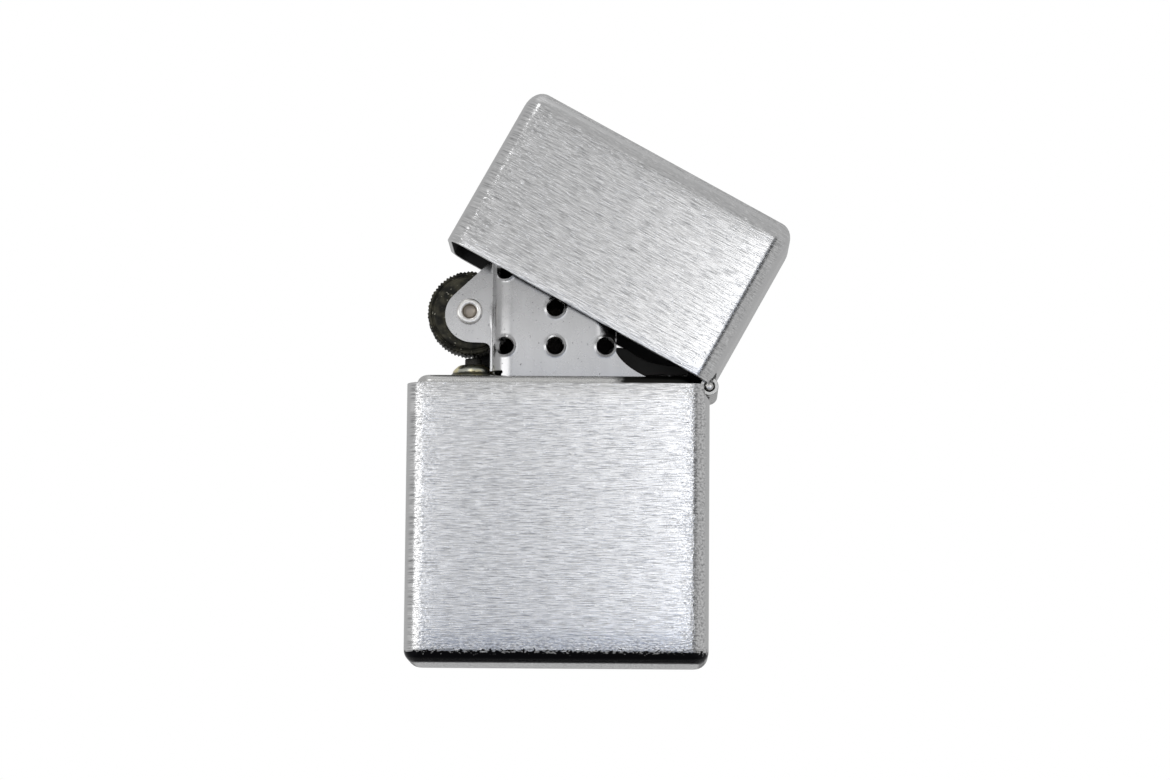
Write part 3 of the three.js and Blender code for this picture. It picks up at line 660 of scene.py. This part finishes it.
# %% Material tools
class Wire:
    """An output socket. Each operator adds one Math node to the same material."""

    def __init__(self, finish, socket):
        self.finish, self.socket = finish, socket

    def maths(self, operation, other=0.0, swap=False):
        pair = (other, self) if swap else (self, other)
        return self.finish.add("ShaderNodeMath", {"operation": operation}, dict(enumerate(pair)))

    def __add__(self, other): return self.maths("ADD", other)
    def __radd__(self, other): return self.maths("ADD", other, True)
    def __sub__(self, other): return self.maths("SUBTRACT", other)
    def __rsub__(self, other): return self.maths("SUBTRACT", other, True)
    def __mul__(self, other): return self.maths("MULTIPLY", other)
    def __rmul__(self, other): return self.maths("MULTIPLY", other, True)
    def __truediv__(self, other): return self.maths("DIVIDE", other)
    def __rtruediv__(self, other): return self.maths("DIVIDE", other, True)
    def __pow__(self, other): return self.maths("POWER", other)
    def __rpow__(self, other): return self.maths("POWER", other, True)
    def __neg__(self): return self.maths("MULTIPLY", -1.0)
    def __abs__(self): return self.maths("ABSOLUTE")

    def ramp(self, low, high):
        """0 below low and 1 above high, with a soft step between."""
        return self.finish.add("ShaderNodeMapRange", {"interpolation_type": "SMOOTHSTEP"},
                               {"Value": self, "From Min": low, "From Max": high})


class Finish:
    """A material whose nodes are added one call at a time."""

    def __init__(self, name):
        self.material = bpy.data.materials.new(name)
        self.material.use_nodes = True
        self.tree = self.material.node_tree
        self.tree.nodes.clear()

    def add(self, kind, settings=None, sockets=None, out=0):
        """A node of this kind: its settings first, then its socket values and links."""
        node = self.tree.nodes.new(kind)
        for key, value in (settings or {}).items():
            setattr(node, key, value)
        for key, value in (sockets or {}).items():
            if isinstance(value, Wire):
                self.tree.links.new(node.inputs[key], value.socket)
            else:
                node.inputs[key].default_value = value
        return Wire(self, node.outputs[out]) if len(node.outputs) else None

    def place(self, centre=(0, 0, 0), turn=0.0):
        """Object coordinates in millimetres about a centre, turned back by the lid's opening."""
        where = self.add("ShaderNodeTexCoord", out="Object")
        return self.add("ShaderNodeMapping", {"vector_type": "TEXTURE"},
                        {"Vector": where, "Location": [c * MM for c in centre],
                         "Rotation": (0, math.radians(turn), 0), "Scale": (MM, MM, MM)})

    def split(self, vector):
        parts = self.add("ShaderNodeSeparateXYZ", sockets={0: vector})
        return [Wire(self, parts.socket.node.outputs[i]) for i in range(3)]

    def combine(self, x, y, z=0.0):
        return self.add("ShaderNodeCombineXYZ", sockets={0: x, 1: y, 2: z})

    def noise(self, vector, scale=1.0, detail=2.0, roughness=0.5, dimensions="3D"):
        return self.add("ShaderNodeTexNoise", {"noise_dimensions": dimensions},
                        {"Vector": vector, "Scale": scale, "Detail": detail, "Roughness": roughness})

    def mix(self, factor, a, b):
        """Colour a where the factor is 0 and b where it is 1."""
        full = [v if isinstance(v, Wire) else (*v, 1) for v in (a, b)]
        return self.add("ShaderNodeMix", {"data_type": "RGBA"}, {0: factor, 6: full[0], 7: full[1]}, 2)

    def bump(self, height, strength, distance_mm, under=None):
        sockets = {"Height": height, "Strength": strength, "Distance": distance_mm * MM}
        if under is not None:
            sockets["Normal"] = under
        return self.add("ShaderNodeBump", None, sockets)

    def surface(self, **sockets):
        """Ends the material in one Principled shader; underscores in the names stand for spaces."""
        named = {key.replace("_", " "): value for key, value in sockets.items()}
        named = {k: (*v, 1) if isinstance(v, tuple) and len(v) == 3 and "Color" in k else v
                 for k, v in named.items()}
        shader = self.add("ShaderNodeBsdfPrincipled", None, named)
        self.add("ShaderNodeOutputMaterial", None, {"Surface": shader})
        return self.material


def dress(piece, *materials):
    while len(piece.data.materials):
        piece.data.materials.pop()
    for material in filter(None, materials):
        piece.data.materials.append(material)

# %% [markdown]
# ## Brushed chrome
# The chrome is brushed along the long side of each face: short strokes a tenth of a millimetre wide and
# a few millimetres long, some of which catch the light. The strokes run round the walls and along the
# top and bottom; the lid's strokes turn with the lid.

# %% Brushed chrome
CROWN, DRAFT = 0.55, 0.03


def brushed(name, turn, closed_end, edge_up, sparkle, dark_reflection_band):
    """Strokes along the face, from noise stretched ten to twenty times along X and Y. closed_end is the
    height of the bottom or the top from the hinge; near it and near the sides the brush lifts, and the
    strokes give way to short bright scratches (sparkle). The narrow sides are only lightly brushed, and
    the rounding at the closed end, edge_up high, is polished; on it a near-black band may be painted, a
    painted dark reflection. side and cap are the parts of the outward direction along X and Z, known
    from the place on the rounded edges.
    Pressed faces are not quite flat: height = -CROWN (x / 19)^2 + DRAFT (distance from the closed end)."""
    f = Finish(name)
    x, y, z = f.split(f.place(HINGE, turn))
    middle_x, end = x + HINGE[0], abs(z - closed_end)
    side = (abs(middle_x) - (WIDTH / 2 - CORNER)) / CORNER
    cap = 1.0 - end / edge_up
    on_cap = cap.ramp(0.6, 0.8)
    polished = cap.ramp(0.12, 0.3) - on_cap
    worked = (1.0 - side.ramp(0.6, 0.85) * 0.96) * (1.0 - polished * 0.6)
    wave = f.noise(f.combine(x * 0.12, y * 0.2, z * 0.3), 1.0, 1.0) - 0.5
    along = x + y * (1.0 - on_cap)
    across = z * (1.0 - on_cap) + y * on_cap + wave * 0.2
    fine = f.noise(f.combine(along * 0.5, across * 7.0), 1.0, 2.0, 0.6, "2D") - 0.5
    broad = f.noise(f.combine(along * 0.08, across * 2.6), 1.0, 3.0, 0.7, "2D") - 0.5
    line = f.noise(f.combine(along * 0.4 + 31.0, across * 8.4), 1.0, 1.0, 0.5, "2D").ramp(0.58, 0.70)
    fleck = f.noise(f.combine(along * 1.0 + 31.0, across * 6.0 + 7.0), 1.0, 1.0, 0.5, "2D")
    fleck = fleck.ramp(0.66, 0.76)
    border = (abs(middle_x) + f.noise(f.combine(x, y, z), 0.4, 2.0) * 3.0).ramp(15.5, 19.5)
    low = 1.0 - (end + f.noise(f.combine(x, y, z), 0.5, 2.0) * 2.0).ramp(1.5, 5.5)
    edge = (border + low - border * low) * sparkle
    grit = f.noise(f.combine(along * 2.2, across * 3.6), 1.0, 2.0, 0.6, "2D") - 0.5
    strokes = fine * (1.0 - edge * 0.6) + grit * edge * 1.6
    tone = 0.77 + (strokes * 1.25 + broad * 0.35 - line * 0.24 * (1.0 - edge) + fleck * 0.9) * worked
    colour = f.mix(tone, (0.18, 0.183, 0.19), (0.965, 0.966, 0.97))
    # painted dark reflection: the rounding at the closed end is mixed to near black, as if it mirrored
    # something dark
    painted_dark_reflection = (cap + grit * 1.1).ramp(0.08, 0.16) * (1.0 - cap.ramp(0.92, 0.99)) * dark_reflection_band
    colour = f.mix(painted_dark_reflection, colour, (0.010, 0.010, 0.012))
    rough = 0.22 + (fine * 0.2 - fleck * 0.08) * worked - polished * 0.08
    height = (strokes * (1.0 + edge * 2.0) + broad * 0.3 - line * 0.3 + fleck * 0.9) * worked
    face = f.bump(middle_x * middle_x * (-CROWN / 19.0 ** 2) + end * DRAFT, 1.0, 1.0)
    return f.surface(Base_Color=colour, Metallic=1.0, Roughness=rough,
                     Normal=f.bump(height, 0.5, 0.02, face))


# the last argument paints the near-black band on the case's bottom rounding: a painted dark reflection
case_chrome = brushed("brushed_chrome", 0.0, -HINGE[2], CASE_EDGE, 1.0, 1.0)
lid_chrome = brushed("brushed_chrome_lid", LID_OPEN, LID_TOP - HINGE[2], LID_EDGE_DOWN, 0.35, 0.0)

# %% [markdown]
# ## Other metals
# The windscreen and the insert are nickel, satin but not brushed, with fine specks. The wheel is dark
# hardened steel. The rivet and the pin are bright. The collar is pale brass.

# %% Other metals
def plain_metal(name, colour, roughness, grain=3.0, grain_depth=0.004, spread=0.12, metallic=1.0):
    """A metal with a soft cloudy grain in its gloss, its tone and its relief."""
    f = Finish(name)
    where = f.place()
    cloud = f.noise(where, 0.35, 3.0)
    grainy = f.noise(where, grain, 3.0, 0.6)
    dark = tuple(0.72 * c for c in colour)
    return f.surface(Base_Color=f.mix((cloud - 0.35) * 1.6, dark, colour), Metallic=metallic,
                     Roughness=roughness + (grainy - 0.5) * spread, Normal=f.bump(grainy, 0.4, grain_depth))


def screen_nickel(name):
    """Satin nickel: faint upright bands, small dark specks and a soft cloud. The pressed face bulges:
    height = 0.0012 x^2 - 0.005 (z - 42)^2."""
    f = Finish(name)
    where = f.place()
    x, y, z = f.split(where)
    band = f.noise(f.combine(x * 0.7 + y, z * 0.06), 1.0, 2.0, 0.5, "2D")
    cloud = f.noise(where, 0.4, 3.0)
    speck = f.noise(where, 2.6, 2.0).ramp(0.70, 0.76)
    tone = 0.5 + (band - 0.5) * 0.15 + (cloud - 0.5) * 0.3 - speck * 0.6
    bulge = f.bump((z - 42.0) * (z - 42.0) * -0.005 + x * x * 0.0012, 1.0, 1.0)
    return f.surface(Base_Color=f.mix(tone, (0.38, 0.38, 0.385), (0.78, 0.78, 0.785)), Metallic=1.0,
                     Roughness=0.27 + (cloud - 0.5) * 0.12 + speck * 0.3,
                     Normal=f.bump(cloud, 0.3, 0.04, bulge))


def wheel_steel(name):
    """Dark hardened steel, oily and mottled, with a few bright specks where flint dust lies."""
    f = Finish(name)
    where = f.place(WHEEL)
    pits = f.noise(where, 3.4, 3.0, 0.65)
    wear = f.noise(where, 0.9, 3.0)
    dust = f.noise(where, 3.0, 2.0).ramp(0.70, 0.74)
    colour = f.mix(wear.ramp(0.35, 0.7), (0.006, 0.006, 0.004), (0.045, 0.042, 0.028))
    return f.surface(Base_Color=f.mix(dust, colour, (0.3, 0.29, 0.24)), Metallic=0.55,
                     Roughness=0.5 + (pits - 0.5) * 0.5, Normal=f.bump(pits, 0.7, 0.05))


def rolled_rivet(name):
    """A bright mottled ring round a cup that has browned: the tint follows the distance from the axis."""
    f = Finish(name)
    where = f.place(WHEEL)
    x, _, z = f.split(where)
    radius = (x * x + z * z) ** 0.5
    mottle = f.noise(where, 2.6, 3.0, 0.6)
    browned = 1.0 - radius.ramp(0.82, 1.0)
    rings = (radius * 30.0).maths("SINE") * 0.5 + 0.5
    brown = f.mix(rings * 0.6 + mottle * 0.4, (0.20, 0.17, 0.14), (0.66, 0.60, 0.52))
    ring = f.mix(mottle, (0.80, 0.78, 0.75), (0.98, 0.97, 0.95))
    return f.surface(Base_Color=f.mix(browned, ring, brown), Metallic=1.0,
                     Roughness=0.3 + browned * 0.12 + (mottle - 0.5) * 0.2, Normal=f.bump(mottle, 0.4, 0.03))


def stained_brass(name):
    """Nickel worn through to yellow brass in patches, and darker towards near black at the foot, below about
    z = 37.1.
    """
    f = Finish(name)
    where = f.place((FLINT_X, 0, 0))
    z = f.split(where)[2]
    patch = f.noise(where, 0.55, 2.0).ramp(0.42, 0.58)
    grain = f.noise(where, 3.0, 3.0, 0.6)
    # darker towards near black at the foot of the collar, where it meets the deck
    dark_foot = 1.0 - (z + (grain - 0.5) * 0.7).ramp(36.95, 37.15)
    metal = f.mix(patch, (0.62, 0.63, 0.56), (0.92, 0.84, 0.52))
    return f.surface(Base_Color=f.mix(dark_foot * 0.75, metal, (0.03, 0.03, 0.02)), Metallic=1.0,
                     Roughness=0.3 + (grain - 0.5) * 0.2 + dark_foot * 0.2, Normal=f.bump(grain, 0.3, 0.02))


def dull_dark(name, colour=(0.02, 0.019, 0.018)):
    """The unpolished, darkened inside of a shell, soot, or the cam's painted shade: nearly black and rough.
    """
    f = Finish(name)
    where = f.place()
    cloud = f.noise(where, 0.8, 3.0)
    return f.surface(Base_Color=f.mix(cloud, tuple(0.4 * c for c in colour), colour), Metallic=0.3,
                     Roughness=0.55 + (cloud - 0.5) * 0.2, Normal=f.bump(cloud, 0.3, 0.02))


def shaded_deck_nickel(name):
    """Satin nickel whose deck is painted near black beside the cam, from x = 7 to 9: painted shade, for the
    deep shadow of the open lid.
    """
    f = Finish(name)
    where = f.place()
    x, _, z = f.split(where)
    grain = f.noise(where, 3.0, 3.0, 0.6)
    # painted shade: near black on the deck beside the cam, where the open lid's shadow falls
    painted_deck_shade = (x + (grain - 0.5) * 2.0).ramp(6.5, 8.5) * z.ramp(34.0, 35.5)
    return f.surface(Base_Color=f.mix(painted_deck_shade, (0.72, 0.72, 0.71), (0.02, 0.02, 0.018)), Metallic=1.0,
                     Roughness=0.26 + (grain - 0.5) * 0.12 + painted_deck_shade * 0.2, Normal=f.bump(grain, 0.3, 0.006))


nickel = screen_nickel("nickel")
insert_nickel = shaded_deck_nickel("insert_nickel")
hinge_steel = plain_metal("hinge_steel", (0.74, 0.74, 0.73), 0.25)
bright = plain_metal("bright_rivet", (0.95, 0.94, 0.92), 0.26, 4.0, 0.012)
# painted shade: the cam is made near black to stand for the deep shadow under the open lid
cam_shade_black = dull_dark("cam_painted_shade_steel", (0.016, 0.015, 0.013))
dark_steel = wheel_steel("wheel_steel")
spring_steel = plain_metal("spring_steel", (0.42, 0.43, 0.44), 0.3)
brass = plain_metal("brass", (0.72, 0.55, 0.27), 0.3)
collar_brass = stained_brass("collar_brass")
rivet_finish = rolled_rivet("rolled_rivet")
lining = dull_dark("dull_lining")
soot = dull_dark("soot", (0.012, 0.011, 0.010))
flint_grey = plain_metal("flint", (0.025, 0.024, 0.022), 0.6, 4.0, 0.05, 0.3, 0.3)

# %% [markdown]
# ## Cotton and felt
# Fibres scatter light, so these are matt with a little sheen and a fibrous relief.

# %% Cotton and felt
def fibres(name, light, dark, scale, depth_mm, stretch=1.0):
    """A matt fibrous cover: fine noise in its tone and its relief."""
    f = Finish(name)
    x, y, z = f.split(f.place())
    hair = f.noise(f.combine(x, y, z * stretch), scale, 4.0, 0.7)
    return f.surface(Base_Color=f.mix((hair - 0.3) * 2.2, dark, light), Roughness=0.9, Sheen_Weight=0.35,
                     Sheen_Roughness=0.4, Normal=f.bump(hair, 0.8, depth_mm))


def wick_cotton(name):
    """The same, with its end singed above the deck."""
    f = Finish(name)
    where = f.place()
    z = f.split(where)[2]
    hair = f.noise(where, 5.0, 3.0, 0.7)
    singed = (z + (hair - 0.5) * 2.0).ramp(37.5, 39.5)
    colour = f.mix(singed, f.mix(hair, (0.55, 0.47, 0.32), (0.86, 0.8, 0.66)), (0.02, 0.016, 0.013))
    return f.surface(Base_Color=colour, Roughness=0.9, Normal=f.bump(hair, 0.6, 0.08))


wick_finish = wick_cotton("wick_cotton")
cotton_finish = fibres("cotton", (0.93, 0.92, 0.88), (0.70, 0.68, 0.62), 1.6, 0.15)
felt_finish = fibres("felt", (0.62, 0.58, 0.5), (0.36, 0.33, 0.28), 4.0, 0.1)

# %% [markdown]
# ## Assembly
# Each piece takes its finish, rides the body that it belongs to, and stands in for its CAD node.

# %% Assembly
ASSEMBLY = [
    (case, case_chrome, "case", "bottom_case", "brushed_chrome"),
    (lid, lid_chrome, "lid", "lid_case", "brushed_chrome"),
    (case_leaf, hinge_steel, "case", "case_hinge_leaf", "hinge_steel"),
    (lid_leaf, hinge_steel, "lid", "lid_hinge_leaf", "hinge_steel"),
    (pin, bright, "case", "hinge_pin", "bright_rivet"),
    (insert, insert_nickel, "case", "insert_body", "nickel"),
    (screen, nickel, "case", "windscreen", "nickel"),
    (wheel, dark_steel, "wheel", "flint_wheel", "wheel_steel"),
    (rivet, rivet_finish, "case", "wheel_rivet", "bright_rivet"),
    (cam, cam_shade_black, "cam", "lid_cam", "wheel_steel"),
    (cam_pin, nickel, "case", "cam_pin", "nickel"),
    (collar, collar_brass, "case", "tube_collar", "collar_brass"),
    (flint, flint_grey, "flint_column", "flint", "flint"),
    (wick, wick_finish, "case", "wick", "wick_cotton"),
    (felt, felt_finish, "case", "felt_pad", "felt"),
] + [(ball, cotton_finish, "case", f"cotton_ball_{i + 1}", "cotton") for i, ball in enumerate(balls)]
LININGS = {case: lining, lid: lining, screen: soot}
for piece, material, body, node, slot in ASSEMBLY:
    dress(piece, material, LININGS.get(piece))
    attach(piece, body)
    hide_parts(node)
for node, material in {"cam_spring": spring_steel, "flint_tube": brass, "flint_plunger": brass,
                       "flint_spring": spring_steel, "flint_screw": brass}.items():
    dress(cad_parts[node], material)
print("assembled", len(ASSEMBLY), "pieces")

# %% [markdown]
# ## Studio
# A pale floor, soft light from the upper left, and a dome that only reflections see, which gives the
# chrome its bright and dark parts.

# %% Camera
def camera(where_mm, azimuth, elevation, roll, lens):
    """Looks towards the object from the given side; angles in degrees."""
    a, e, r = map(math.radians, (azimuth, elevation, roll))
    back = Vector((math.sin(a) * math.cos(e), -math.cos(a) * math.cos(e), math.sin(e)))
    right = Vector((math.cos(a), math.sin(a), 0))
    up = back.cross(right)
    across = math.cos(r) * right + math.sin(r) * up
    upright = math.cos(r) * up - math.sin(r) * right
    data = bpy.data.cameras.new("camera")
    data.lens, data.sensor_width, data.clip_end = lens, 36.0, 10.0
    made = bpy.data.objects.new("camera", data)
    bpy.context.scene.collection.objects.link(made)
    turn = Matrix((across, upright, back)).transposed().to_4x4()
    made.matrix_world = Matrix.Translation(Vector(where_mm) * MM) @ turn
    bpy.context.scene.camera = made


camera((12.018, -500.223, -32.876), 1.001, -7.739, 0.473, 122.35)

# %% Room and reflections
def world_light(strength, camera_white):
    """An even grey room that looks white where the camera sees past the object."""
    world = bpy.data.worlds.new("room")
    bpy.context.scene.world = world
    world.use_nodes = True
    tree = world.node_tree
    tree.nodes.clear()
    path = tree.nodes.new("ShaderNodeLightPath")
    mix = tree.nodes.new("ShaderNodeMixShader")
    out = tree.nodes.new("ShaderNodeOutputWorld")
    for i, value in ((1, strength), (2, camera_white)):
        glow = tree.nodes.new("ShaderNodeBackground")
        glow.inputs["Strength"].default_value = value
        glow.inputs["Color"].default_value = (1, 1, 1, 1)
        tree.links.new(mix.inputs[i], glow.outputs[0])
    tree.links.new(mix.inputs[0], path.outputs["Is Camera Ray"])
    tree.links.new(out.inputs["Surface"], mix.outputs[0])


def step(value, low, high):
    """0 below low, 1 above high, smooth between."""
    t = np.clip((value - low) / (high - low), 0, 1)
    return t * t * (3 - 2 * t)


def window(value, low, high, soft):
    """1 between low and high, 0 outside them, smooth within soft of each."""
    return step(value, low - soft, low + soft) * (1 - step(value, high - soft, high + soft))


def studio(azimuth, elevation):
    """Brightness of the studio towards each azimuth (0 is -Y, 90 is +X) and elevation, in degrees.
    A wide low softbox stands in front, brighter at both ends, with a grey room above it and a small bright
    lamp at the upper left, which the deepest strokes catch. It is darker below, and a black card on the
    right draws the right corners in black."""
    room = 0.48 + 0.2 * step(elevation, 60, 75)
    box = np.interp(azimuth, [-62, -24, -16, -10, -5, 0, 5, 9, 20],
                    [2.8, 2.8, 1.6, 0.78, 0.78, 1.05, 1.4, 2.1, 2.9])
    box = box * np.interp(elevation, [-8, -2, 2, 5, 8, 11, 13, 16],
                          [0.55, 0.58, 0.85, 1.2, 1.12, 0.82, 0.6, 0.5])
    top = np.interp(azimuth, [-20, -8], [7.0, 14.0])
    light = (box - room) * window(azimuth, -64, 20, 3) * step(elevation, -9, -5)
    light = room + light * (1 - step(elevation - top, -2, 2))
    light = light * (1 - window(azimuth, 18, 40, 2) * window(elevation, -9, 12, 3))
    light = light + 2.6 * window(azimuth, -30, -13, 2) * window(elevation, 40, 55, 2)
    below = step(-elevation, 10, 15) * window(azimuth, -30, 24, 4)
    return light * (1 - 0.35 * np.maximum(below, step(-elevation, 40, 55)))


def reflected_studio(name, radius=2500.0):
    """A dome that only reflections see, with the studio's brightness at its points."""
    azimuth, elevation = np.meshgrid(np.linspace(-180, 180, 181), np.linspace(-90, 90, 91), indexing="ij")
    a, e = np.radians(azimuth), np.radians(elevation)
    points = np.stack([np.sin(a) * np.cos(e), -np.cos(a) * np.cos(e), np.sin(e)], -1)
    mesh = bpy.data.meshes.new(name)
    faces = grid_faces(*azimuth.shape, False, False)
    mesh.from_pydata((points.reshape(-1, 3) * radius * MM).tolist(), [], faces.tolist())
    light = studio(azimuth, elevation)
    cool = 0.36 * (1 - step(elevation, -6, 2)) * step(elevation, -16, -10) * (1 - step(abs(azimuth), 18, 26))
    colour = np.stack([light * (1 - cool), light * (1 - 0.7 * cool), light, np.ones_like(light)], -1)
    glow = mesh.attributes.new("glow", "FLOAT_COLOR", "POINT")
    glow.data.foreach_set("color", colour.ravel())
    dome = bpy.data.objects.new(name, mesh)
    bpy.context.scene.collection.objects.link(dome)
    f = Finish(name)
    glow = f.add("ShaderNodeAttribute", {"attribute_name": "glow"}, out="Color")
    shine = f.add("ShaderNodeEmission", None, {"Color": glow})
    f.add("ShaderNodeOutputMaterial", None, {"Surface": shine})
    dress(dome, f.material)
    dome.visible_camera = dome.visible_diffuse = dome.visible_shadow = dome.visible_transmission = False


def pale_floor():
    """A pale floor that is clear from below, so that a low camera sees past it."""
    r = 2000.0
    floor = grid("floor", np.array([[[-r, -r, 0], [-r, r, 0]], [[r, -r, 0], [r, r, 0]]]), False)
    f = Finish("pale_floor")
    under = f.add("ShaderNodeNewGeometry", out="Backfacing")
    paint = f.add("ShaderNodeBsdfDiffuse", None, {"Color": (0.86, 0.86, 0.86, 1)})
    clear = f.add("ShaderNodeBsdfTransparent")
    both = f.add("ShaderNodeMixShader", None, {0: under, 1: paint, 2: clear})
    f.add("ShaderNodeOutputMaterial", None, {"Surface": both})
    dress(floor, f.material)
    if floor.data.polygons[0].normal.z < 0:
        floor.data.flip_normals()
    floor.visible_glossy = False


def soft_light(name, where_mm, size_mm, watts):
    data = bpy.data.lights.new(name, "AREA")
    data.size, data.energy = size_mm * MM, watts
    lamp = bpy.data.objects.new(name, data)
    bpy.context.scene.collection.objects.link(lamp)
    lamp.location = Vector(where_mm) * MM
    lamp.visible_glossy = False
    lamp.rotation_mode = "QUATERNION"
    lamp.rotation_quaternion = (Vector((0, 0, 0.035)) - lamp.location).to_track_quat("-Z", "Y")


world_light(0.42, 1.0)
reflected_studio("reflected_studio")
pale_floor()
soft_light("key", (-500, -600, 700), 500, 12)
bpy.context.scene.view_settings.view_transform = "Standard"

# %% Sizes
bpy.context.view_layer.update()
